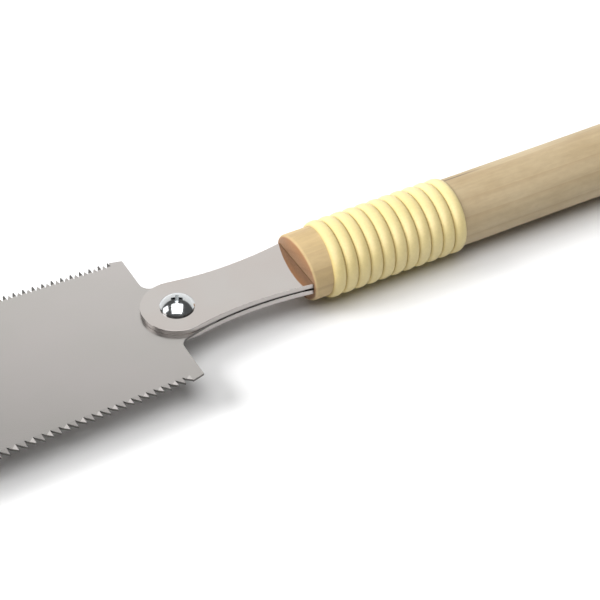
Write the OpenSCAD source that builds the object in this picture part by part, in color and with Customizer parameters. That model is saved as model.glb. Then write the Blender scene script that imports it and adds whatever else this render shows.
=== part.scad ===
// Double-edged pull saw with a clamped, replaceable blade and a cord-wound wooden handle.
// Millimetres. +X runs to the handle's butt, +Y to the crosscut edge, +Z up, with the saw lying flat.
// The origin is at the middle of the saw's footprint, on the surface that it lies on.

/* [Blade] */
// Distance from the clamp screw to the blade's tip
blade_reach = 245; // [200:1:330]
// Thickness of the blade sheet
blade_t = 0.7; // [0.5:0.05:1.2]
// Width across the tooth points at the heel
heel_w = 58.4; // [50:0.2:80]
// Width across the tooth points at the tip
tip_w = 76; // [60:0.5:110]
// Distance from the screw to the heel edge
heel_setback = 5.2; // [4:0.1:8]
// Length of the plain edge at each heel corner
heel_flat = 4; // [2:0.5:10]
// How far the plain edge falls away at the heel corner
heel_drop = 1; // [0.2:0.1:2]
// Length of the plain edge before the tip
tip_flat = 4; // [3:0.5:12]
// Radius of the two tip corners
tip_corner_r = 3; // [1:0.5:3]

/* [Teeth] */
// Pitch of the crosscut teeth
crosscut_pitch = 1.52; // [1.2:0.02:2.6]
// Depth of the crosscut teeth
crosscut_depth = 2.2; // [0.8:0.1:3]
// Pitch of the rip teeth at the heel
rip_pitch_heel = 2.3; // [1.8:0.1:3]
// Pitch of the rip teeth at the tip
rip_pitch_tip = 3.8; // [3.2:0.1:5]
// Depth of a rip tooth for each millimetre of its pitch
rip_depth_ratio = 1.1; // [0.5:0.05:1.3]

/* [Tang] */
// Gap between the tang's end and the handle's face
tang_gap = 2.7; // [1:0.1:6]
// How far the tang's sides lie inside the plates' outline
tang_inset = 0.3; // [0.1:0.1:1]
// Width of the shoulder where the tang meets the heel
shoulder_w = 24.4; // [22:0.2:30]
// Radius of the fillet between the heel and the shoulder
heel_fillet_r = 3.4; // [1.5:0.1:6]
// Distance behind the screw where the shoulder meets the plates' outline
shoulder_end = 9; // [6:0.5:14]

/* [Neck plates] */
// Thickness of each neck plate
plate_t = 1.55; // [1:0.05:2.5]
// Diameter of the round eye at the screw
eye_d = 22.2; // [20.4:0.2:26]
// Width at the waist
waist_w = 18.4; // [15:0.2:19.4]
// Distance from the screw to the waist
waist_x = 20; // [16:0.5:24]
// Width where the plates enter the handle
root_w = 22; // [20:0.1:23]
// Distance from the screw to the handle's face
neck_len = 40.2; // [34:0.2:60]
// How deep the plates go into the handle
root_depth = 58; // [40:1:90]
// Sliding clearance on each face of the blade
blade_play = 0.05; // [0.03:0.01:0.1]

/* [Clamp screw] */
// Diameter of the screw's shank
screw_d = 6; // [4:0.5:7]
// Diameter of the screw's head
head_d = 10.5; // [9:0.1:13]
// Height of the screw's domed head
head_h = 2.9; // [2:0.1:4]
// Width of each arm of the cross recess
recess_w = 1.1; // [0.6:0.1:1.6]
// Length across the cross recess
recess_span = 5; // [3:0.1:6]
// Depth of the cross recess
recess_depth = 2; // [1:0.1:2.2]
// Angle that the cross recess is left at when the screw is tight
recess_turn = -28; // [-45:1:45]
// Size of the nut across its flats
nut_af = 10; // [9:0.5:12]
// Height of the nut
nut_h = 4; // [2:0.1:4.5]
// Length of thread that stands out below the nut
thread_proud = 0.8; // [0:0.1:1]
// Radial clearance of the shank in the nut
thread_play = 0.05; // [0.02:0.01:0.1]
// Clearance of the shank in the plates and in the tang's slot
hole_play = 0.3; // [0.2:0.05:0.6]
// Gap under the screw's head
seat_play = 0.05; // [0.02:0.01:0.2]

/* [Handle] */
// Length of the wooden handle
handle_len = 320; // [240:1:400]
// Width of the handle at its front
handle_w = 25.4; // [25:0.1:34]
// Thickness of the handle at its front
handle_h = 18.4; // [16:0.1:26]
// Width of the handle at its butt
butt_w = 28; // [25:0.1:38]
// Thickness of the handle at its butt
butt_h = 20.8; // [17:0.1:30]
// Length of the straight part at the front
straight_len = 95; // [80:1:160]
// Rounding of the edge round the front face
face_round = 1; // [0.3:0.1:2]
// Rounding of the butt
butt_round = 6; // [2:0.5:8]
// Diameter of the hanging hole
hang_d = 8; // [5:0.5:10]
// Distance from the hanging hole's axis to the butt
hang_inset = 20; // [14:0.5:40]

/* [Winding] */
// Bare wood between the handle's face and the first turn, on average
winding_start = 7.3; // [5:0.1:20]
// Number of turns
turns = 11; // [6:1:14]
// Width of one turn of the cord
turn_w = 4.3; // [3:0.1:5]
// How far the cord stands out from the wood
turn_rise = 1.2; // [0.8:0.1:2]
// Depth of the grooves between the turns
groove_depth = 0.7; // [0.3:0.1:0.8]
// How far each turn leans forward on the way from the crosscut side over the top to the rip side
winding_lean = 3.4; // [0:0.1:4.3]
// Gap between the winding and the wood
winding_play = 0.03; // [0.02:0.01:0.05]

/* [Handle pins] */
// Diameter of the two pins that hold the plates
pin_d = 4; // [3:0.5:5]
// Distance from the handle's face to the first pin
pin_first = 16; // [14:0.5:20]
// Distance between the two pins
pin_pitch = 26; // [18:1:30]
// Depth of the pins' ends below the wood's surface
pin_sink = 0.2; // [0.1:0.1:1]
// Radial clearance of the pins and of the plates in the wood
wood_play = 0.03; // [0.02:0.01:0.1]

/* [Hidden] */

gap_t = blade_t + 2 * blade_play;
stack_t = gap_t + 2 * plate_t;
screw_r = screw_d / 2;
slot_r = screw_r + hole_play;
eye_r = eye_d / 2;
waist_half = waist_w / 2;
root_half = root_w / 2;
shoulder_half = shoulder_w / 2;
tang_end = neck_len - tang_gap;
root_end = neck_len + root_depth;
butt_x = neck_len + handle_len;
winding_x = neck_len + winding_start;
screw_x = (blade_reach - butt_x) / 2;
axis_z = max(handle_h / 2 + winding_play + turn_rise, butt_h / 2);

// Radii of the waist's two arcs: the first is tangent to the eye, the second ends at the root
eye_arc_r = (waist_x ^ 2 + waist_half ^ 2 - eye_r ^ 2) / (2 * (eye_r - waist_half));
root_arc_r = ((neck_len - waist_x) ^ 2 + (root_half - waist_half) ^ 2) / (2 * (root_half - waist_half));
tangent_x = waist_x * eye_r / (eye_r + eye_arc_r);
arc_steps = 8;
eye_steps = 24;

// Tooth line, from the heel's plain edge to the tip's plain edge
heel_half = heel_w / 2;
tip_half = tip_w / 2;
tooth_start = heel_setback + heel_flat;
tooth_run = blade_reach - tip_flat - tooth_start;
edge_slope = (tip_half - heel_half) / (blade_reach - tooth_start);
crosscut_count = floor(tooth_run / crosscut_pitch);
rip_ratio = (tooth_run - rip_pitch_heel) / (tooth_run - rip_pitch_tip);
rip_count = round(1 + ln(rip_pitch_tip / rip_pitch_heel) / ln(rip_ratio));
rip_total = (rip_ratio ^ rip_count - 1) / (rip_ratio - 1);

oval_sides = 32;
turn_stations = 4;
// Where on the oval a leaning turn lies furthest back, from the crosscut side towards the top
lean_angle = 36;

// Half width of the plates at a distance x behind the screw
function neck_half(x) = x < waist_x
    ? waist_half + eye_arc_r - sqrt(eye_arc_r ^ 2 - (waist_x - x) ^ 2)
    : waist_half + root_arc_r - sqrt(root_arc_r ^ 2 - (x - waist_x) ^ 2);

// Points of the plates' side from one x to another, moved in by an inset
function neck_side(from, to, inset) = [for (i = [0:2 * arc_steps])
    let (x = from + (to - from) * i / (2 * arc_steps)) [x, neck_half(x) - inset]];

// Distance of a tooth line's point from the blade's axis, at a distance s from its first tooth
function edge_half(s) = heel_half + edge_slope * s;

// Place along the edge of the front of rip tooth k, with the pitch growing evenly to the tip
function rip_s(k) = tooth_run * (rip_ratio ^ k - 1) / (rip_ratio - 1) / rip_total;

function crosscut_tooth(s) = [
    [-tooth_start - s, edge_half(s) - crosscut_depth],
    [-tooth_start - s - 0.25 * crosscut_pitch, edge_half(s)],
    [-tooth_start - s - 0.55 * crosscut_pitch, edge_half(s) - 0.2 * crosscut_depth]];

function rip_tooth(s, pitch) = [
    [-tooth_start - s, edge_half(s) - rip_depth_ratio * pitch],
    [-tooth_start - s, edge_half(s)]];

// Plain edge, rounded tip corner and heel corner that both long sides share
function tip_corner(s) = [
    [-tooth_start - s, edge_half(s) - 0.4],
    [-tooth_start - s, edge_half(s)],
    for (i = [0:arc_steps]) let (a = 90 + 90 * i / arc_steps)
        [-blade_reach + tip_corner_r * (1 + cos(a)), tip_half - tip_corner_r * (1 - sin(a))]];

function heel_corner() = [
    [-heel_setback, heel_half - heel_drop],
    [-tooth_start + 0.1, heel_half]];

// Heel edge, fillet, shoulder and side of the tang
function tang_side() = concat(
    neck_side(tang_end, shoulder_end, tang_inset),
    [for (i = [0:arc_steps]) let (a = 270 - 90 * i / arc_steps)
        [-heel_setback + heel_fillet_r * (1 + cos(a)), shoulder_half + heel_fillet_r * (1 + sin(a))]]);

function crosscut_side() = concat(tang_side(), heel_corner(),
    [for (k = [0:crosscut_count - 1]) each crosscut_tooth(k * crosscut_pitch)],
    tip_corner(crosscut_count * crosscut_pitch));

function rip_side() = concat(tang_side(), heel_corner(),
    [for (k = [0:rip_count - 1]) each rip_tooth(rip_s(k), rip_s(k + 1) - rip_s(k))],
    tip_corner(tooth_run));

// Points of a side turned over to the other side, in the opposite order
function other_side(points) = [for (i = [len(points) - 1:-1:0]) [points[i].x, -points[i].y]];

module at_screw() {
    translate([screw_x, 0, axis_z]) children();
}

module tang_slot() {
    circle(r = slot_r, $fn = 48);
    translate([0, -slot_r]) square([tang_end + 1, 2 * slot_r]);
}

module blade() {
    color([0.76, 0.73, 0.71])
        at_screw()
            translate([0, 0, -blade_t / 2])
                linear_extrude(blade_t)
                    difference() {
                        polygon(concat(crosscut_side(), other_side(rip_side())));
                        tang_slot();
                    }
}

// Outline of a neck plate, from the far side of the eye round to the root
module neck_outline() {
    tangent_angle = acos(tangent_x / eye_r);
    side = concat(
        [for (i = [0:eye_steps - 1]) let (a = 180 - (180 - tangent_angle) * i / eye_steps)
            eye_r * [cos(a), sin(a)]],
        neck_side(tangent_x, neck_len, 0),
        [[root_end, root_half]]);
    polygon(concat(side, [for (i = [len(side) - 1:-1:1]) [side[i].x, -side[i].y]]));
}

// One neck plate with its screw hole and pin holes, its lower face at z
module neck_plate(z) {
    color([0.8, 0.77, 0.75])
        at_screw()
            translate([0, 0, z])
                difference() {
                    linear_extrude(plate_t)
                        neck_outline();
                    translate([0, 0, -1]) cylinder(r = slot_r, h = plate_t + 2, $fn = 48);
                    pin_holes();
                }
}

module upper_neck_plate() {
    neck_plate(gap_t / 2);
}

module lower_neck_plate() {
    neck_plate(-stack_t / 2);
}

module neck_spacer() {
    color([0.6, 0.6, 0.6])
        at_screw()
            difference() {
                translate([neck_len + face_round, -root_half, -gap_t / 2])
                    cube([root_depth - face_round, root_w, gap_t]);
                pin_holes();
            }
}

module at_pins() {
    for (i = [0, 1])
        translate([neck_len + pin_first + i * pin_pitch, 0, 0])
            children();
}

module pin_holes() {
    at_pins() cylinder(r = pin_d / 2 + wood_play, h = 2 * handle_h, center = true, $fn = 48);
}

module handle_pins() {
    color([0.7, 0.7, 0.7])
        at_screw()
            at_pins() cylinder(r = pin_d / 2, h = handle_h - 2 * pin_sink, center = true, $fn = 48);
}

// Domed head's half section, with a short upright rim
module head_profile() {
    rim = 0.5;
    crown_r = ((head_d / 2) ^ 2 + (head_h - rim) ^ 2) / (2 * (head_h - rim));
    edge_angle = asin(head_d / 2 / crown_r);
    polygon(concat([[0, 0], [head_d / 2, 0]],
        [for (i = [0:2 * arc_steps]) let (a = edge_angle * (1 - i / (2 * arc_steps)))
            [crown_r * sin(a), head_h - crown_r + crown_r * cos(a)]]));
}

module clamp_screw() {
    shank_len = stack_t + seat_play + nut_h + thread_proud;
    color([0.85, 0.87, 0.88])
        at_screw()
            translate([0, 0, stack_t / 2 + seat_play])
                difference() {
                    union() {
                        rotate_extrude($fn = 96) head_profile();
                        translate([0, 0, -shank_len]) cylinder(r = screw_r, h = shank_len + 0.2, $fn = 48);
                    }
                    for (turn = [0, 90])
                        rotate(turn + recess_turn)
                            translate([-recess_span / 2, -recess_w / 2, head_h - recess_depth])
                                cube([recess_span, recess_w, recess_depth + 1]);
                }
}

module clamp_nut() {
    color([0.75, 0.75, 0.74])
        at_screw()
            translate([0, 0, -stack_t / 2 - nut_h])
                difference() {
                    cylinder(r = nut_af / 2 / cos(30), h = nut_h, $fn = 6);
                    translate([0, 0, -1]) cylinder(r = screw_r + thread_play, h = nut_h + 2, $fn = 48);
                }
}

// Points of an oval round the X axis at x, which may lean along the axis
function oval_ring(x, w, h, lean = 0) = [for (i = [0:oval_sides - 1]) let (a = 360 * i / oval_sides)
    [x + lean / 2 * cos(a - lean_angle), w / 2 * cos(a), h / 2 * sin(a)]];

// Faces that join each oval ring to the next one
function skin_faces(ring_count) = [for (r = [0:ring_count - 2], i = [0:oval_sides - 1])
    let (a = r * oval_sides, b = a + oval_sides, j = (i + 1) % oval_sides)
        each [[a + i, b + i, b + j], [a + i, b + j, a + j]]];

// Rings of the handle's surface, from the rounded front edge to the rounded butt
function handle_rings() = concat(
    [for (a = [0, 30, 60, 90]) let (cut = 2 * face_round * (1 - sin(a)))
        oval_ring(neck_len + face_round * (1 - cos(a)), handle_w - cut, handle_h - cut)],
    [oval_ring(neck_len + straight_len, handle_w, handle_h)],
    [for (a = [0:15:90]) let (cut = 2 * butt_round * (1 - cos(a)))
        oval_ring(butt_x - butt_round * (1 - sin(a)), butt_w - cut, butt_h - cut)]);

module handle_blank() {
    rings = handle_rings();
    last = (len(rings) - 1) * oval_sides;
    polyhedron(
        points = [for (ring = rings) each ring],
        faces = concat(skin_faces(len(rings)),
            [[for (i = [0:oval_sides - 1]) i], [for (i = [oval_sides - 1:-1:0]) last + i]]));
}

module handle() {
    mortise_w = root_w + 2 * wood_play;
    mortise_h = stack_t + 2 * wood_play;
    color([0.84, 0.74, 0.57])
        at_screw()
            difference() {
                handle_blank();
                translate([neck_len - 1, -mortise_w / 2, -mortise_h / 2])
                    cube([root_depth + 1 + wood_play, mortise_w, mortise_h]);
                pin_holes();
                translate([butt_x - hang_inset, 0, 0])
                    cylinder(d = hang_d, h = 2 * butt_h, center = true, $fn = 48);
            }
}

// Winding, as one ribbed sleeve: each turn is a leaning rib with a round crown between two grooves
module cord_winding() {
    inner_w = handle_w + 2 * winding_play;
    inner_h = handle_h + 2 * winding_play;
    last = turns * turn_stations;
    stations = [for (i = [0:last]) let (rise = turn_rise - groove_depth * cos(180 * i / turn_stations) ^ 2)
        oval_ring(winding_x + turn_w * i / turn_stations, inner_w + 2 * rise, inner_h + 2 * rise, winding_lean)];
    bore_rings = [for (x = [winding_x + turn_w * turns, winding_x]) oval_ring(x, inner_w, inner_h, winding_lean)];
    rings = concat(stations, bore_rings, [stations[0]]);
    color([0.96, 0.9, 0.66])
        at_screw()
            polyhedron(
                points = [for (ring = rings) each ring],
                faces = skin_faces(len(rings)));
}

blade();
upper_neck_plate();
lower_neck_plate();
neck_spacer();
clamp_screw();
clamp_nut();
handle();
handle_pins();
cord_winding();
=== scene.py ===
import math

import bmesh
import bpy
from mathutils import Matrix, Vector


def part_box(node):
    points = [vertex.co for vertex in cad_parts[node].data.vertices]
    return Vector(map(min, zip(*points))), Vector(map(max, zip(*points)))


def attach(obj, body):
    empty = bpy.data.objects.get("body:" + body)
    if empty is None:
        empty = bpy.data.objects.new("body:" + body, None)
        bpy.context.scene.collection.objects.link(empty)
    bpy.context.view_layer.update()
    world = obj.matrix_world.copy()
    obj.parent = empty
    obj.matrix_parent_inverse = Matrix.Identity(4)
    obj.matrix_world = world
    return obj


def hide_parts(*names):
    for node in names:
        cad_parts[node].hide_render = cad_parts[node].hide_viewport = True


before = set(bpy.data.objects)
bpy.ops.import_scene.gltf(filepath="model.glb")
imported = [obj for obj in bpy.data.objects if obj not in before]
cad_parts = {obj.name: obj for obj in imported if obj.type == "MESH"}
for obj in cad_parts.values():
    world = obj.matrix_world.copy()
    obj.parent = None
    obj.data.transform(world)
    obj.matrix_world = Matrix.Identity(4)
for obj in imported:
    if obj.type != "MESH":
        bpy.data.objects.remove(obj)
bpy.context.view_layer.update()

mm = 0.001

# ---- sizes of the saw's pieces ----

screw_low, screw_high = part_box("clamp_screw")
blade_low, blade_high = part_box("blade")
grip_low, grip_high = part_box("handle")
cord_low, cord_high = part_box("cord_winding")
nut_low, nut_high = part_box("clamp_nut")
plates_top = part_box("upper_neck_plate")[1].z
plates_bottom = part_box("lower_neck_plate")[0].z

screw_x = (screw_low.x + screw_high.x) / 2
axis_z = (blade_low.z + blade_high.z) / 2
merge_dist = 0.002 * mm

# teeth: all lie outside the zone, and a gullet is at least a notch lower than its neighbours
tooth_zone = 20 * mm
notch_depth = 0.5 * mm
crosscut_set_high = 0.26 * mm
crosscut_set_low = 0.04 * mm
crosscut_bend_share = 0.72
crosscut_bevel_back = 0.5 * mm
crosscut_bevel_in = 0.6
rip_set_up = 0.30 * mm
rip_set_down = 0.02 * mm
rip_bend_share = 0.55

# neck plates
plate_edge_round = 0.32 * mm
root_half_w = 11 * mm

# clamp screw, its cross recess and its thread
shank_r = 3 * mm
shank_end_bevel = 0.3 * mm
head_seat_gap = 0.05 * mm
head_rim = 0.5 * mm
head_underside_bevel = 0.12 * mm
crown_steps = 14
recess_span = 5.0 * mm
recess_arm = 1.15 * mm
recess_depth = 2.0 * mm
recess_turn = math.radians(-28)
recess_floor_scale = (0.45, 0.7, 1)
thread_pitch = 1.0 * mm
thread_depth = 0.45 * mm
thread_half_w = 0.42 * thread_pitch
thread_crest_half_w = 0.05 * mm
thread_sink = 0.05 * mm
thread_bottom = screw_low.z + 0.35 * mm
thread_top = nut_high.z - 0.5 * mm
thread_steps_per_turn = 32

# clamp nut
nut_corner_drop = 0.5 * mm
nut_face_share = 0.46
nut_cone_start_deg = 1.3

# winding
cord_rise = 1.2 * mm
cord_gap = 0.03 * mm
cord_side_gap = 0.01 * mm
cord_seat = 0.06 * mm
cord_turn_count = 11
cord_profile_sides = 24
cord_steps_per_turn = 96
cord_lean = 3.4 * mm
cord_turn_w = (cord_high.x - cord_low.x - cord_lean) / cord_turn_count
lean_from_deg = 36
step_over_deg = 295
step_over_share = 0.16

# handle
grip_sides = 96
turned_sides = 96
front_round = 1.0 * mm
front_rings = 5
straight_front = 95 * mm
body_rings = 32
butt_round = 6 * mm
butt_rings = 9
mortise_gap = 0.12 * mm
mortise_depth = 58.1 * mm
hang_hole_r = 4 * mm
hang_hole_x = grip_high.x - 20 * mm
hang_hole_flare = 0.9 * mm
hang_hole_flare_degs = (0, 25, 50, 75)
hang_hole_sides = 64

# ---- material helpers ----


def new_material(name):
    material = bpy.data.materials.new(name)
    material.use_nodes = True
    nodes, links = material.node_tree.nodes, material.node_tree.links
    nodes.clear()
    shader = nodes.new("ShaderNodeBsdfPrincipled")
    output = nodes.new("ShaderNodeOutputMaterial")
    links.new(shader.outputs["BSDF"], output.inputs["Surface"])
    return material, nodes, links, shader


def object_space(nodes, links, scale=(1, 1, 1), place=(0, 0, 0)):
    """Object coordinates through a Mapping node."""
    coordinates = nodes.new("ShaderNodeTexCoord")
    mapping = nodes.new("ShaderNodeMapping")
    mapping.inputs["Location"].default_value = place
    mapping.inputs["Scale"].default_value = scale
    links.new(coordinates.outputs["Object"], mapping.inputs["Vector"])
    return mapping.outputs["Vector"]


def noise(nodes, links, vector, scale, detail):
    texture = nodes.new("ShaderNodeTexNoise")
    texture.inputs["Scale"].default_value = scale
    texture.inputs["Detail"].default_value = detail
    texture.inputs["Roughness"].default_value = 0.55
    links.new(vector, texture.inputs["Vector"])
    return texture.outputs["Fac"]


def spread(nodes, links, value, low, high, to_low=0.0, to_high=1.0):
    """Map Range, clamped, from low..high to to_low..to_high."""
    node = nodes.new("ShaderNodeMapRange")
    node.inputs["From Min"].default_value = low
    node.inputs["From Max"].default_value = high
    node.inputs["To Min"].default_value = to_low
    node.inputs["To Max"].default_value = to_high
    links.new(value, node.inputs["Value"])
    return node.outputs["Result"]


def blend_colours(nodes, links, factor, first, second, mode="MIX"):
    """Mix node for colours. The factor and both colours may each be a socket or a constant."""
    node = nodes.new("ShaderNodeMix")
    node.data_type = "RGBA"
    node.blend_type = mode
    for socket, value in (("Factor_Float", factor), ("A_Color", first), ("B_Color", second)):
        target = next(s for s in node.inputs if s.identifier == socket)
        if isinstance(value, bpy.types.NodeSocket):
            links.new(value, target)
        elif isinstance(value, float):
            target.default_value = value
        else:
            target.default_value = (*value, 1.0)
    return next(s for s in node.outputs if s.identifier == "Result_Color")


def maths(nodes, links, operation, first, second=0.0):
    """Math node. Each operand may be a socket or a number."""
    node = nodes.new("ShaderNodeMath")
    node.operation = operation
    for socket, value in zip(node.inputs, (first, second)):
        if isinstance(value, bpy.types.NodeSocket):
            links.new(value, socket)
        else:
            socket.default_value = value
    return node.outputs["Value"]


def facing_axis(nodes, links, axis, low, high):
    """0 where the surface looks across the axis, 1 where it looks along it."""
    coordinates = nodes.new("ShaderNodeTexCoord")
    split = nodes.new("ShaderNodeSeparateXYZ")
    links.new(coordinates.outputs["Normal"], split.inputs["Vector"])
    return spread(nodes, links, maths(nodes, links, "ABSOLUTE", split.outputs[axis]), low, high)


def bump(nodes, links, shader, height, strength, distance):
    node = nodes.new("ShaderNodeBump")
    node.inputs["Strength"].default_value = strength
    node.inputs["Distance"].default_value = distance
    links.new(height, node.inputs["Height"])
    links.new(node.outputs["Normal"], shader.inputs["Normal"])


# ---- materials ----


def satin_blade_steel():
    """Finely brushed along the blade, with faint clouds. Its thin sides and tooth flanks are dark: painted
    shade, picked by which way each face looks.
    """
    warm_grey, pale_grey, side_shade_grey = (0.690, 0.672, 0.645), (0.722, 0.690, 0.675), (0.13, 0.125, 0.12)
    material, nodes, links, shader = new_material("satin_blade_steel")
    shader.inputs["Metallic"].default_value = 1.0
    clouds = noise(nodes, links, object_space(nodes, links), 26, detail=4)
    strokes = noise(nodes, links, object_space(nodes, links, scale=(40, 500, 40)), 1.0, detail=3)
    tone = blend_colours(nodes, links, spread(nodes, links, clouds, 0.35, 0.65), warm_grey, pale_grey)
    stroke_tone = spread(nodes, links, strokes, 0.3, 0.7, 0.985, 1.0)
    brushed = blend_colours(nodes, links, 1.0, tone, stroke_tone, "MULTIPLY")
    # painted shade: faces that look sideways take the dark side colour
    level = facing_axis(nodes, links, "Z", 0.3, 0.7)
    colour = blend_colours(nodes, links, level, side_shade_grey, brushed)
    links.new(colour, shader.inputs["Base Color"])
    links.new(spread(nodes, links, strokes, 0.3, 0.7, 0.235, 0.255), shader.inputs["Roughness"])
    return material


def polished_plate_steel():
    """Polished flats. The sheared edges are duller, and darker by painted shade picked by which way each face
    looks.
    """
    flat_dark, flat_pale, edge_shade_grey = (0.655, 0.61, 0.585), (0.665, 0.635, 0.615), (0.43, 0.40, 0.385)
    edge_dullness = 0.24
    material, nodes, links, shader = new_material("polished_plate_steel")
    shader.inputs["Metallic"].default_value = 1.0
    clouds = noise(nodes, links, object_space(nodes, links), 60, detail=2)
    flat = blend_colours(nodes, links, spread(nodes, links, clouds, 0.35, 0.65), flat_dark, flat_pale)
    # painted shade: the sheared edges, which look sideways, take a darker colour
    level = facing_axis(nodes, links, "Z", 0.35, 0.9)
    colour = blend_colours(nodes, links, level, edge_shade_grey, flat)
    links.new(colour, shader.inputs["Base Color"])
    polish = spread(nodes, links, clouds, 0.3, 0.7, 0.05, 0.08)
    dullness = spread(nodes, links, level, 0.0, 1.0, edge_dullness, 0.0)
    links.new(maths(nodes, links, "ADD", polish, dullness), shader.inputs["Roughness"])
    return material


def marked_metal(name, dark, pale, mark_scale, mark_detail, smoothest, roughest):
    """Plain metal whose colour and roughness vary a little in fine marks."""
    material, nodes, links, shader = new_material(name)
    shader.inputs["Metallic"].default_value = 1.0
    marks = noise(nodes, links, object_space(nodes, links), mark_scale, detail=mark_detail)
    colour = blend_colours(nodes, links, spread(nodes, links, marks, 0.3, 0.7), dark, pale)
    links.new(colour, shader.inputs["Base Color"])
    links.new(spread(nodes, links, marks, 0.3, 0.7, smoothest, roughest), shader.inputs["Roughness"])
    return material


def bright_chrome():
    return marked_metal("bright_chrome", dark=(0.62, 0.65, 0.67), pale=(0.68, 0.70, 0.71),
                        mark_scale=900, mark_detail=2, smoothest=0.11, roughest=0.16)


def plain_zinc(name):
    return marked_metal(name, dark=(0.50, 0.50, 0.49), pale=(0.60, 0.60, 0.58),
                        mark_scale=500, mark_detail=3, smoothest=0.30, roughest=0.42)


def pale_wood():
    """Long grain, clean in front of the winding and worn behind it, with end grain on the handle's ends."""
    clean_dark, clean_pale = (0.47, 0.345, 0.175), (0.53, 0.395, 0.215)
    worn_dark, worn_pale = (0.375, 0.285, 0.165), (0.485, 0.39, 0.25)
    ring_brown, streak_brown = (0.31, 0.215, 0.115), (0.10, 0.07, 0.045)
    end_dark, end_pale = (0.235, 0.13, 0.07), (0.30, 0.175, 0.098)
    end_ring_brown, end_orange = (0.18, 0.09, 0.045), (0.36, 0.18, 0.08)
    pith_offset, wander_width, rings_per_metre = (0, 0.055, 0.09), 0.008, 210.0
    material, nodes, links, shader = new_material("pale_wood")

    # growth rings round a pith that lies outside the handle, wandering slowly along it
    wander = noise(nodes, links, object_space(nodes, links, scale=(3, 25, 25)), 1.0, detail=2)
    length = nodes.new("ShaderNodeVectorMath")
    length.operation = "LENGTH"
    links.new(object_space(nodes, links, scale=(0, 1, 1), place=pith_offset), length.inputs[0])
    shift = maths(nodes, links, "MULTIPLY", wander, wander_width)
    radius = maths(nodes, links, "ADD", length.outputs["Value"], shift)
    phase = maths(nodes, links, "FRACT", maths(nodes, links, "MULTIPLY", radius, rings_per_metre))
    late = spread(nodes, links, phase, 0.72, 0.97)
    early = spread(nodes, links, phase, 0.97, 1.0, 1.0, 0.0)
    rings = maths(nodes, links, "MULTIPLY", late, early)

    fibres = noise(nodes, links, object_space(nodes, links, scale=(18, 700, 700)), 1.0, detail=4)
    patches = noise(nodes, links, object_space(nodes, links, scale=(30, 60, 60)), 1.0, detail=5)
    speckle = noise(nodes, links, object_space(nodes, links, scale=(350, 900, 900)), 1.0, detail=2)
    pores = noise(nodes, links, object_space(nodes, links), 1500, detail=3)
    place = nodes.new("ShaderNodeSeparateXYZ")
    links.new(object_space(nodes, links), place.inputs["Vector"])
    handled = spread(nodes, links, place.outputs["X"], cord_low.x, cord_high.x)

    # long grain
    patchy = spread(nodes, links, patches, 0.3, 0.7)
    clean = blend_colours(nodes, links, patchy, clean_dark, clean_pale)
    worn = blend_colours(nodes, links, patchy, worn_dark, worn_pale)
    long_grain = blend_colours(nodes, links, handled, clean, worn)
    faint_rings = maths(nodes, links, "MULTIPLY", rings, 0.3)
    long_grain = blend_colours(nodes, links, faint_rings, long_grain, ring_brown)
    fibre_tone = maths(nodes, links, "MULTIPLY", spread(nodes, links, fibres, 0.3, 0.7, 0.93, 1.03),
                       spread(nodes, links, speckle, 0.3, 0.7, 0.95, 1.03))
    long_grain = blend_colours(nodes, links, 1.0, long_grain, fibre_tone, "MULTIPLY")

    # a dark streak on the upper side, just behind the winding
    streak_y, streak_core, streak_edge = 6.5 * mm, 0.2 * mm, 0.7 * mm
    fade_from, fade_to = cord_high.x + 6 * mm, cord_high.x + 16 * mm
    aside = maths(nodes, links, "ABSOLUTE", maths(nodes, links, "SUBTRACT", place.outputs["Y"], streak_y))
    streak = maths(nodes, links, "MULTIPLY", spread(nodes, links, aside, streak_core, streak_edge, 0.75, 0.0),
                   spread(nodes, links, place.outputs["X"], fade_from, fade_to, 1.0, 0.0))
    upper_side = spread(nodes, links, place.outputs["Z"], axis_z, axis_z + mm)
    streak = maths(nodes, links, "MULTIPLY", streak, upper_side)
    streak = maths(nodes, links, "MULTIPLY", streak, handled)
    long_grain = blend_colours(nodes, links, streak, long_grain, streak_brown)

    # end grain, more orange towards the top
    end_grain = blend_colours(nodes, links, spread(nodes, links, pores, 0.35, 0.65), end_dark, end_pale)
    half_rings = maths(nodes, links, "MULTIPLY", rings, 0.5)
    end_grain = blend_colours(nodes, links, half_rings, end_grain, end_ring_brown)
    height = spread(nodes, links, place.outputs["Z"], axis_z + 4 * mm, axis_z + 9 * mm)
    end_grain = blend_colours(nodes, links, height, end_grain, end_orange)

    end_share = facing_axis(nodes, links, "X", 0.75, 0.97)
    colour = blend_colours(nodes, links, end_share, long_grain, end_grain)
    links.new(colour, shader.inputs["Base Color"])
    shader.inputs["Roughness"].default_value = 0.55
    shader.inputs["Specular IOR Level"].default_value = 0.35
    bump(nodes, links, shader, fibres, strength=0.12, distance=0.05 * mm)
    return material


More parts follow.
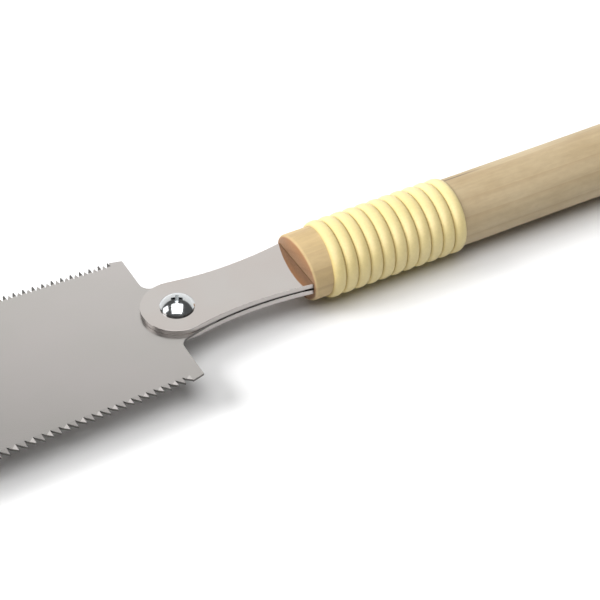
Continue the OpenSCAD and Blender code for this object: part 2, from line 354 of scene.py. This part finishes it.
def cream_cord():
    """Coated cord, cloudy and speckled, with painted shade darkening the grooves between the turns."""
    deep_cream, pale_cream, groove_shade_brown = (0.665, 0.54, 0.245), (0.725, 0.61, 0.305), (0.47, 0.34, 0.12)
    material, nodes, links, shader = new_material("cream_cord")
    clouds = noise(nodes, links, object_space(nodes, links, scale=(60, 30, 30)), 1.0, detail=3)
    specks = noise(nodes, links, object_space(nodes, links), 1100, detail=2)
    cream = blend_colours(nodes, links, spread(nodes, links, clouds, 0.3, 0.7), deep_cream, pale_cream)
    shade = spread(nodes, links, specks, 0.35, 0.65, 0.97, 1.02)
    cream = blend_colours(nodes, links, 1.0, cream, shade, "MULTIPLY")
    # painted shade: the deeper a point lies in a groove, the browner it is painted
    groove = nodes.new("ShaderNodeAttribute")
    groove.attribute_name = "groove"
    groove_shade = spread(nodes, links, groove.outputs["Fac"], 0.25, 1.0, 0.0, 0.8)
    colour = blend_colours(nodes, links, groove_shade, cream, groove_shade_brown)
    links.new(colour, shader.inputs["Base Color"])
    shader.inputs["Roughness"].default_value = 0.38
    shader.inputs["Specular IOR Level"].default_value = 0.45
    bump(nodes, links, shader, specks, strength=0.05, distance=0.05 * mm)
    return material


# ---- mesh helpers ----


def shade_smooth(mesh, sharp_deg=30):
    """Smooth shading, with the edges sharper than sharp_deg kept sharp."""
    mesh.polygons.foreach_set("use_smooth", [True] * len(mesh.polygons))
    mesh.set_sharp_from_angle(angle=math.radians(sharp_deg))


def add_piece(name, bm, body, material, stands_for, flat=False, sharp_deg=30):
    """Makes the bmesh a piece that rides on a body, with the given material, and hides the CAD nodes it stands
    for.
    """
    mesh = bpy.data.meshes.new(name)
    bm.to_mesh(mesh)
    bm.free()
    mesh.materials.append(material)
    if not flat:
        shade_smooth(mesh, sharp_deg)
    piece = bpy.data.objects.new(name, mesh)
    bpy.context.scene.collection.objects.link(piece)
    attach(piece, body)
    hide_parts(*stands_for)
    return piece


def even_flats(piece):
    """Weighted normals, so that flat faces stay flat beside their rounded edges."""
    modifier = piece.modifiers.new("even_flats", "WEIGHTED_NORMAL")
    modifier.keep_sharp = True
    modifier.weight = 100


def merged_copy(node):
    """A CAD node's mesh with its loose triangles merged and its flat faces made whole."""
    bm = bmesh.new()
    bm.from_mesh(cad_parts[node].data)
    bmesh.ops.remove_doubles(bm, verts=bm.verts, dist=merge_dist)
    bmesh.ops.dissolve_limit(bm, angle_limit=math.radians(0.1), verts=bm.verts, edges=bm.edges)
    return bm


def soften(bm, width, segments, least_deg=50):
    """Rounds every edge sharper than least_deg."""
    least = math.radians(least_deg)
    sharp = [e for e in bm.edges if len(e.link_faces) == 2 and e.calc_face_angle() > least]
    bmesh.ops.bevel(bm, geom=sharp, offset=width, offset_type="OFFSET", segments=segments,
                    profile=0.5, affect="EDGES", material=-1, clamp_overlap=True)


def cut_away(piece, cutter_bm):
    """Takes the cutter's shape out of a piece and leaves a plain mesh."""
    cutter_mesh = bpy.data.meshes.new("cutter")
    cutter_bm.to_mesh(cutter_mesh)
    cutter_bm.free()
    cutter = bpy.data.objects.new("cutter", cutter_mesh)
    bpy.context.scene.collection.objects.link(cutter)
    modifier = piece.modifiers.new("cut", "BOOLEAN")
    modifier.operation = "DIFFERENCE"
    modifier.solver = "EXACT"
    modifier.object = cutter
    bpy.context.view_layer.update()
    evaluated = piece.evaluated_get(bpy.context.evaluated_depsgraph_get())
    cut_mesh = bpy.data.meshes.new_from_object(evaluated)
    piece.modifiers.clear()
    old_mesh = piece.data
    piece.data = cut_mesh
    cut_mesh.name = piece.name
    bpy.data.meshes.remove(old_mesh)
    bpy.data.objects.remove(cutter)
    bpy.data.meshes.remove(cutter_mesh)
    shade_smooth(cut_mesh)


def box_bm(low, high):
    bm = bmesh.new()
    bmesh.ops.create_cube(bm, size=1.0)
    bmesh.ops.scale(bm, vec=high - low, verts=bm.verts)
    bmesh.ops.translate(bm, vec=(low + high) / 2, verts=bm.verts)
    return bm


def turned(profile, centre, steps, start_deg=0):
    """A closed lathe shape: the profile's (radius, height) points are joined and spun round Z at centre."""
    bm = bmesh.new()
    verts = [bm.verts.new((centre.x + r, centre.y, centre.z + z)) for r, z in profile]
    edges = [bm.edges.new(pair) for pair in zip(verts, verts[1:])]
    bmesh.ops.spin(bm, geom=verts + edges, cent=centre, axis=(0, 0, 1), angle=2 * math.pi, steps=steps,
                   use_merge=True, use_normal_flip=False)
    start = Matrix.Rotation(math.radians(start_deg), 3, "Z")
    bmesh.ops.rotate(bm, cent=centre, matrix=start, verts=bm.verts)
    bmesh.ops.remove_doubles(bm, verts=bm.verts, dist=merge_dist)
    bmesh.ops.recalc_face_normals(bm, faces=bm.faces)
    return bm


# ---- blade ----


def widest_face(bm, side):
    """The blade's largest face that looks up (side 1) or down (side -1)."""
    return max((f for f in bm.faces if f.normal.z * side > 0.9), key=lambda f: f.calc_area())


def teeth_of(face, y_sign):
    """Runs of outline vertices from gullet to gullet on one long side, from the heel to the tip."""
    ring = list(face.verts)
    start = max(range(len(ring)), key=lambda i: ring[i].co.x)
    ring = ring[start:] + ring[:start]
    height = [v.co.y * y_sign for v in ring]
    gullets = [i for i in range(1, len(ring) - 1) if height[i] > tooth_zone
               and height[i] < height[i - 1] - notch_depth and height[i] < height[i + 1] - notch_depth]
    runs = [ring[i:j + 1] for i, j in zip(gullets, gullets[1:])]
    return sorted(runs, key=lambda run: -run[1].co.x)


def lean(run, shift):
    """Moves a tooth's crown up or down, while its gullets stay."""
    for vert in run[1:-1]:
        vert.co.z += shift


def steel_blade():
    """The CAD blade with its teeth set: every other one bends up, and the crosscut crowns are sharpened."""
    bm = merged_copy("blade")
    faces = {side: widest_face(bm, side) for side in (1, -1)}
    for y_sign in (1, -1):
        runs = {side: teeth_of(faces[side], y_sign) for side in (1, -1)}
        for side in (1, -1):
            for run in runs[side]:
                bmesh.ops.connect_verts(bm, verts=[run[0], run[-1]])
            faces[side] = widest_face(bm, side)
        for k, (top_run, bottom_run) in enumerate(zip(runs[1], runs[-1])):
            bends_up = k % 2 == 0
            if y_sign > 0 and bends_up:
                sharpen_crosscut(bottom_run)
                bend_crosscut_up(bm, top_run, bottom_run)
            elif y_sign > 0:
                sharpen_crosscut(top_run)
                lean(top_run, crosscut_set_low)
                lean(bottom_run, crosscut_set_low)
            elif bends_up:
                bend_rip_up(bm, top_run, bottom_run)
            else:
                lean(top_run, -rip_set_down)
                lean(bottom_run, -rip_set_down)
    return add_piece("toothed_blade", bm, "saw_blade", blade_steel, ["blade"], flat=True)


def sharpen_crosscut(run):
    """Draws one face's crown in and back, so that the tooth's two flanks become slanting facets."""
    root = (run[0].co + run[-1].co) / 2
    for vert in run[1:-1]:
        vert.co.x = root.x + crosscut_bevel_in * (vert.co.x - root.x)
        vert.co.y -= math.copysign(crosscut_bevel_back, vert.co.y)


def split_below(crown, root, share):
    """A new vertex on the tooth's edge between crown and root."""
    edge = next(e for e in crown.link_edges if e.other_vert(crown) is root)
    return bmesh.utils.edge_split(edge, crown, share)[1]


def bend_crosscut_up(bm, top_run, bottom_run):
    """Sets a crosscut tooth: it bends up across its root."""
    folds = []
    for run in (top_run, bottom_run):
        fold = [split_below(run[1], run[0], crosscut_bend_share),
                split_below(run[-2], run[-1], crosscut_bend_share)]
        bmesh.ops.connect_verts(bm, verts=fold)
        lean(run, crosscut_set_high)
        folds.append(sorted(fold, key=lambda v: v.co.x))
    for pair in zip(*folds):
        bmesh.ops.connect_verts(bm, verts=pair)


def bend_rip_up(bm, top_run, bottom_run):
    """Sets a rip tooth: its tip bends up along a line from the front gullet to halfway up the back edge."""
    middles = []
    for run in (top_run, bottom_run):
        tip = run[1]
        front, back = sorted((run[0], run[-1]), key=lambda v: abs(v.co.x - tip.co.x))
        middle = split_below(tip, back, rip_bend_share)
        bmesh.ops.connect_verts(bm, verts=[front, middle])
        tip.co.z += rip_set_up
        middles.append(middle)
    bmesh.ops.connect_verts(bm, verts=middles)


# ---- neck plates, screw and nut ----


def neck_plate(name, node):
    """A CAD plate with its edges rounded."""
    bm = merged_copy(node)
    soften(bm, plate_edge_round, segments=3)
    piece = add_piece(name, bm, "grip", plate_steel, [node])
    even_flats(piece)
    return piece


def screw_blank_profile(head_r):
    """(radius, height) points from the crown of the head, down the shank and its core, to the end's middle."""
    head_bottom, head_top, end = plates_top + head_seat_gap, screw_high.z, screw_low.z
    crown_h = head_top - head_bottom - head_rim
    crown_r = (head_r ** 2 + crown_h ** 2) / (2 * crown_h)
    edge_angle = math.asin(head_r / crown_r)
    crown = [(crown_r * math.sin(a), head_top - crown_r + crown_r * math.cos(a))
             for a in (edge_angle * i / crown_steps for i in range(crown_steps + 1))]
    core_r = shank_r - thread_depth
    underside = [(head_r, head_bottom + head_underside_bevel), (head_r - head_underside_bevel, head_bottom)]
    shank = [(shank_r, head_bottom), (shank_r, nut_high.z), (core_r, nut_high.z - thread_depth)]
    tail = [(core_r, end + shank_end_bevel), (core_r - shank_end_bevel, end), (0, end)]
    return crown + underside + shank + tail


def clamp_screw():
    """A turned screw whose domed head has a cross recess, cut one arm at a time."""
    profile = screw_blank_profile((screw_high.x - screw_low.x) / 2)
    bm = turned(profile, Vector((screw_x, 0, 0)), turned_sides)
    piece = add_piece("domed_clamp_screw", bm, "screw", chrome, ["clamp_screw"])
    for turn in (0, math.pi / 2):
        cutter = bmesh.new()
        made = bmesh.ops.create_cube(cutter, size=1.0)["verts"]
        bmesh.ops.scale(cutter, vec=(recess_span, recess_arm, 2 * recess_depth), verts=made)
        bmesh.ops.scale(cutter, vec=recess_floor_scale, verts=[v for v in made if v.co.z < 0])
        bmesh.ops.rotate(cutter, matrix=Matrix.Rotation(turn + recess_turn, 3, "Z"), verts=made)
        bmesh.ops.translate(cutter, vec=(screw_x, 0, screw_high.z), verts=made)
        cut_away(piece, cutter)
    return piece


def screw_thread():
    """One helical ridge round the shank's core, from the shank's end up through the nut."""
    turns = (thread_top - thread_bottom - thread_pitch) / thread_pitch
    foot_r, crest_r = shank_r - thread_depth - thread_sink, shank_r - thread_sink
    bm = bmesh.new()
    verts = [bm.verts.new((screw_x + r, 0, thread_bottom + z)) for r, z in (
        (foot_r, 0), (crest_r, thread_half_w - thread_crest_half_w),
        (crest_r, thread_half_w + thread_crest_half_w), (foot_r, 2 * thread_half_w))]
    edges = [bm.edges.new(pair) for pair in zip(verts, verts[1:] + verts[:1])]
    bm.faces.new(verts)
    steps = round(turns * thread_steps_per_turn)
    made = bmesh.ops.spin(bm, geom=verts + edges, cent=(screw_x, 0, 0), axis=(0, 0, 1),
                          dvec=(0, 0, turns * thread_pitch / steps), angle=turns * 2 * math.pi, steps=steps)
    last = [g for g in made["geom_last"] if isinstance(g, bmesh.types.BMEdge)]
    bmesh.ops.edgeloop_fill(bm, edges=last)
    bmesh.ops.recalc_face_normals(bm, faces=bm.faces)
    return add_piece("screw_thread", bm, "screw", chrome, ["clamp_screw"])


def clamp_nut():
    """The bored hexagon, with both ends trimmed by a cone that starts inside its flats."""
    centre = Vector(((nut_low.x + nut_high.x) / 2, 0, (nut_low.z + nut_high.z) / 2))
    width, length = nut_high.y - nut_low.y, nut_high.x - nut_low.x
    corner_r, face_r = max(width, length) / 2, nut_face_share * min(width, length)
    half = (nut_high.z - nut_low.z) / 2
    slope = nut_corner_drop / (corner_r - face_r)
    inner_r, outer_r, far_r = face_r - mm, corner_r + mm, corner_r + 3 * mm
    end, waist = half + slope * mm, half - nut_corner_drop - slope * mm
    profile = [(inner_r, end), (outer_r, waist), (outer_r, -waist), (inner_r, -end),
               (far_r, -end), (far_r, end), (inner_r, end)]
    bm = merged_copy("clamp_nut")
    piece = add_piece("hexagon_clamp_nut", bm, "grip", zinc, ["clamp_nut"])
    cut_away(piece, turned(profile, centre, turned_sides, nut_cone_start_deg))
    return piece


# ---- handle and its winding ----


def grip_width(x):
    """Width and height of the handle's oval at x: straight in front, then widening to the butt."""
    front_w = (cord_high.y - cord_low.y) - 2 * (cord_rise + cord_gap)
    front_h = (cord_high.z - cord_low.z) - 2 * (cord_rise + cord_gap)
    butt_w, butt_h = grip_high.y - grip_low.y, grip_high.z - grip_low.z
    grow_from, grow_to = grip_low.x + straight_front, grip_high.x - butt_round
    share = min(max((x - grow_from) / (grow_to - grow_from), 0), 1)
    return front_w + share * (butt_w - front_w), front_h + share * (butt_h - front_h)


def grip_stations():
    """(x, width, height) of each ring from the front face to the butt."""
    stations = []
    for i in range(front_rings + 1):
        a = math.pi / 2 * i / front_rings
        x = grip_low.x + front_round * (1 - math.cos(a))
        w, h = grip_width(x)
        cut = 2 * front_round * (1 - math.sin(a))
        stations.append((x, w - cut, h - cut))
    body_from, body_to = grip_low.x + front_round, grip_high.x - butt_round
    for i in range(1, body_rings + 1):
        x = body_from + (body_to - body_from) * i / body_rings
        stations.append((x, *grip_width(x)))
    w, h = grip_width(body_to)
    for i in range(1, butt_rings + 1):
        a = math.pi / 2 * i / butt_rings
        cut = 2 * butt_round * (1 - math.cos(a))
        stations.append((body_to + butt_round * math.sin(a), w - cut, h - cut))
    return stations


def grip_blank():
    """The handle before it is cut: one ring drawn out from station to station, with both ends closed."""
    stations = grip_stations()
    bm = bmesh.new()
    made = bmesh.ops.create_circle(bm, cap_ends=False, segments=grip_sides, radius=0.5)
    bmesh.ops.rotate(bm, matrix=Matrix.Rotation(math.pi / 2, 3, "Y"), verts=made["verts"])
    ring_verts, ring_edges = made["verts"], list(bm.edges)
    x, w, h = stations[0]
    bmesh.ops.scale(bm, vec=(1, w, h), verts=ring_verts)
    bmesh.ops.translate(bm, vec=(x, 0, axis_z), verts=ring_verts)
    bmesh.ops.edgeloop_fill(bm, edges=ring_edges)
    for next_x, next_w, next_h in stations[1:]:
        made = bmesh.ops.extrude_edge_only(bm, edges=ring_edges)["geom"]
        ring_verts = [g for g in made if isinstance(g, bmesh.types.BMVert)]
        ring_edges = [g for g in made if isinstance(g, bmesh.types.BMEdge)
                      and all(v in ring_verts for v in g.verts)]
        bmesh.ops.translate(bm, vec=(-x, 0, -axis_z), verts=ring_verts)
        bmesh.ops.scale(bm, vec=(1, next_w / w, next_h / h), verts=ring_verts)
        bmesh.ops.translate(bm, vec=(next_x, 0, axis_z), verts=ring_verts)
        x, w, h = next_x, next_w, next_h
    bmesh.ops.edgeloop_fill(bm, edges=ring_edges)
    bmesh.ops.recalc_face_normals(bm, faces=bm.faces)
    return bm


def hanging_hole_profile():
    """Flared towards both sides of the handle; heights are from its middle."""
    top = grip_width(hang_hole_x)[1] / 2
    flare = []
    for degs in hang_hole_flare_degs:
        a = math.radians(degs)
        flare.append((hang_hole_r + hang_hole_flare * (1 - math.cos(a)),
                      top - hang_hole_flare + hang_hole_flare * math.sin(a)))
    upper = flare + [(hang_hole_r + hang_hole_flare, top + mm)]
    return [(0, -top - mm)] + [(r, -z) for r, z in reversed(upper)] + upper + [(0, top + mm)]


def wooden_handle():
    """The blank with the plates' mortise and the hanging hole cut into it."""
    piece = add_piece("wooden_handle", grip_blank(), "grip", wood, ["handle"])
    half_w = root_half_w + mortise_gap
    mortise_low = Vector((grip_low.x - mm, -half_w, plates_bottom - mortise_gap))
    mortise_high = Vector((grip_low.x + mortise_depth, half_w, plates_top + mortise_gap))
    cut_away(piece, box_bm(mortise_low, mortise_high))
    hole_middle = Vector((hang_hole_x, 0, axis_z))
    cut_away(piece, turned(hanging_hole_profile(), hole_middle, hang_hole_sides))
    return piece


def cord_profile(bm):
    """The cord's section, across X and standing out along Y, round outside and flat against the wood."""
    made = bmesh.ops.create_circle(bm, cap_ends=False, segments=cord_profile_sides, radius=1.0)["verts"]
    half_w = cord_turn_w / 2 - cord_side_gap
    for vert in made:
        across, out = vert.co.x, vert.co.y
        if out > 0:
            stand = cord_seat + (cord_rise - cord_seat) * out
        else:
            stand = cord_seat - (cord_seat - cord_gap) * min(1, 2 * abs(out))
        vert.co = (half_w * across, stand, 0)
    return made


def cord_lean_at(theta):
    """How far forward or back a leaning turn lies at this angle round the handle."""
    return cord_lean / 2 * math.cos(theta - math.radians(lean_from_deg))


def cord_winding():
    """One cord in leaning turns; it steps over to its next turn on the side that rests on the floor."""
    bm = bmesh.new()
    section = cord_profile(bm)
    edges = list(bm.edges)
    bmesh.ops.edgeloop_fill(bm, edges=edges)
    steps = round((cord_turn_count - step_over_share) * cord_steps_per_turn)
    made = bmesh.ops.spin(bm, geom=section + edges, cent=(0, 0, 0), axis=(1, 0, 0),
                          dvec=(0, 0, 0), angle=2 * math.pi * steps / cord_steps_per_turn, steps=steps)
    last = [g for g in made["geom_last"] if isinstance(g, bmesh.types.BMEdge)]
    bmesh.ops.edgeloop_fill(bm, edges=last)

    # each copy of the section takes its place on the winding, and each vertex keeps its depth in the groove
    first_middle = cord_low.x + cord_lean / 2 + cord_turn_w / 2
    front_w, front_h = grip_width(cord_low.x)
    shape = [(v.co.x, v.co.y) for v in section]
    count = len(shape)
    groove = bm.verts.layers.float.new("groove")
    bm.verts.ensure_lookup_table()
    for step in range(steps + 1):
        turn = step / cord_steps_per_turn
        whole_turns = math.floor(turn)
        theta = math.radians(step_over_deg) + 2 * math.pi * turn
        stepped = min(max((turn - whole_turns - 1) / step_over_share + 1, 0), 1)
        eased = stepped * stepped * (3 - 2 * stepped)
        middle = first_middle + cord_turn_w * (whole_turns + eased)
        for vert, (across, stand) in zip(bm.verts[step * count:(step + 1) * count], shape):
            vert.co = (middle + cord_lean_at(theta) + across, (front_w / 2 + stand) * math.cos(theta),
                       axis_z + (front_h / 2 + stand) * math.sin(theta))
            # this depth drives the painted shade in the cord's grooves
            vert[groove] = min(1 - (stand - cord_seat) / (cord_rise - cord_seat), 1)
    bmesh.ops.recalc_face_normals(bm, faces=bm.faces)
    return add_piece("cord_turns", bm, "grip", cord, ["cord_winding"], sharp_deg=70)


# ---- floor, light and camera ----

view_azimuth = math.radians(-28.72)
view_elevation = math.radians(41.70)
toward_camera = Vector((math.sin(view_azimuth), -math.cos(view_azimuth), 0))
camera_right = Vector((math.cos(view_azimuth), math.sin(view_azimuth), 0))
camera_back = toward_camera * math.cos(view_elevation) + Vector((0, 0, math.sin(view_elevation)))
camera_up = camera_back.cross(camera_right)
camera_lens = 108.7
camera_distance = 538 * mm
aim_ahead, aim_right, aim_up = 0.9 * mm, 37.2 * mm, 3.39 * mm

overhead = toward_camera * 0.19 + Vector((0, 0, 0.98))
from_left = camera_right * -0.80 + Vector((0, 0, 0.59))

floor_size = 20
floor_drop = 0.02 * mm


def pale_floor():
    bm = bmesh.new()
    bmesh.ops.create_grid(bm, x_segments=1, y_segments=1, size=floor_size)
    bmesh.ops.translate(bm, vec=(0, 0, -floor_drop), verts=bm.verts)
    mesh = bpy.data.meshes.new("floor")
    bm.to_mesh(mesh)
    bm.free()
    material, nodes, links, shader = new_material("pale_floor")
    shader.inputs["Base Color"].default_value = (0.80, 0.80, 0.80, 1)
    shader.inputs["Roughness"].default_value = 0.9
    shader.inputs["Specular IOR Level"].default_value = 0.1
    mesh.materials.append(material)
    floor = bpy.data.objects.new("floor", mesh)
    bpy.context.scene.collection.objects.link(floor)


def soft_box(name, direction, distance, half_deg, radiance, in_reflections=True):
    """A square area light of the given radiance, which covers half_deg to each side as the saw sees it."""
    size = 2 * distance * math.tan(math.radians(half_deg))
    light = bpy.data.lights.new(name, "AREA")
    light.shape = "SQUARE"
    light.size = size
    light.energy = radiance * 4 * size * size
    lamp = bpy.data.objects.new(name, light)
    lamp.location = Vector((screw_x, 0, 0)) + direction.normalized() * distance
    lamp.rotation_mode = "QUATERNION"
    lamp.rotation_quaternion = direction.to_track_quat("Z", "Y")
    lamp.visible_glossy = in_reflections
    bpy.context.scene.collection.objects.link(lamp)


def studio_world():
    """A bright paper backdrop on the far side, dark above and behind the viewer, with a low glow all round."""
    paper_foot, paper_head, paper_top, dark_from = 1.15, 0.88, 1.0, 1.12
    glow_low, glow_high = 0.55, 0.10
    least_away, matt_share = 0.001, 0.25
    world = bpy.data.worlds.new("studio")
    bpy.context.scene.world = world
    world.use_nodes = True
    nodes, links = world.node_tree.nodes, world.node_tree.links
    nodes.clear()
    coordinates = nodes.new("ShaderNodeTexCoord")
    direction = coordinates.outputs["Generated"]
    dot = nodes.new("ShaderNodeVectorMath")
    dot.operation = "DOT_PRODUCT"
    links.new(direction, dot.inputs[0])
    dot.inputs[1].default_value = -toward_camera
    away = dot.outputs["Value"]
    split = nodes.new("ShaderNodeSeparateXYZ")
    links.new(direction, split.inputs["Vector"])
    up = split.outputs["Z"]

    # the paper stands behind the saw, a little brighter at its foot, and its top edge is soft
    steepness = maths(nodes, links, "DIVIDE", up, maths(nodes, links, "MAXIMUM", away, least_away))
    paper = spread(nodes, links, steepness, 0.0, 0.9, paper_foot, paper_head)
    below_top = spread(nodes, links, steepness, paper_top, dark_from, 1.0, 0.0)
    far_side = spread(nodes, links, away, 0.0, 0.15)
    paper = maths(nodes, links, "MULTIPLY", paper, maths(nodes, links, "MULTIPLY", below_top, far_side))
    low_glow = spread(nodes, links, up, 0.02, 0.22, glow_low, glow_high)
    strength = maths(nodes, links, "MAXIMUM", paper, low_glow)

    # it lights matt surfaces less than it shows in polished ones
    ray = nodes.new("ShaderNodeLightPath")
    fill = spread(nodes, links, ray.outputs["Is Diffuse Ray"], 0.0, 1.0, 1.0, matt_share)
    strength = maths(nodes, links, "MULTIPLY", strength, fill)
    background = nodes.new("ShaderNodeBackground")
    background.inputs["Color"].default_value = (1.0, 0.99, 0.975, 1)
    links.new(strength, background.inputs["Strength"])
    output = nodes.new("ShaderNodeOutputWorld")
    links.new(background.outputs["Background"], output.inputs["Surface"])


def camera():
    data = bpy.data.cameras.new("camera")
    data.sensor_width = 36
    data.lens = camera_lens
    data.clip_start = 0.01
    data.clip_end = 100
    eye = bpy.data.objects.new("camera", data)
    aim = Vector((screw_x - aim_ahead, 0, axis_z)) + camera_right * aim_right + camera_up * aim_up
    eye.location = aim + camera_back * camera_distance
    eye.rotation_mode = "QUATERNION"
    eye.rotation_quaternion = camera_back.to_track_quat("Z", "Y")
    bpy.context.scene.collection.objects.link(eye)
    bpy.context.scene.camera = eye


# ---- the saw ----

blade_steel = satin_blade_steel()
plate_steel = polished_plate_steel()
chrome = bright_chrome()
zinc = plain_zinc("nut_zinc")
hidden_steel = plain_zinc("spacer_steel")
wood = pale_wood()
cord = cream_cord()

steel_blade()
neck_plate("upper_plate", "upper_neck_plate")
neck_plate("lower_plate", "lower_neck_plate")
clamp_screw()
screw_thread()
clamp_nut()
wooden_handle()
cord_winding()

for node in ("neck_spacer", "handle_pins"):
    cad_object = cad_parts[node]
    cad_object.data.materials.clear()
    cad_object.data.materials.append(hidden_steel)

# ---- the studio ----

camera()
pale_floor()
studio_world()
soft_box("overhead_box", overhead, distance=3.4, half_deg=25, radiance=2.75)
soft_box("left_box", from_left, distance=3.0, half_deg=15, radiance=11.0, in_reflections=False)
soft_box("left_glow", from_left, distance=3.1, half_deg=13, radiance=1.5)
bpy.context.scene.view_settings.view_transform = "Standard"
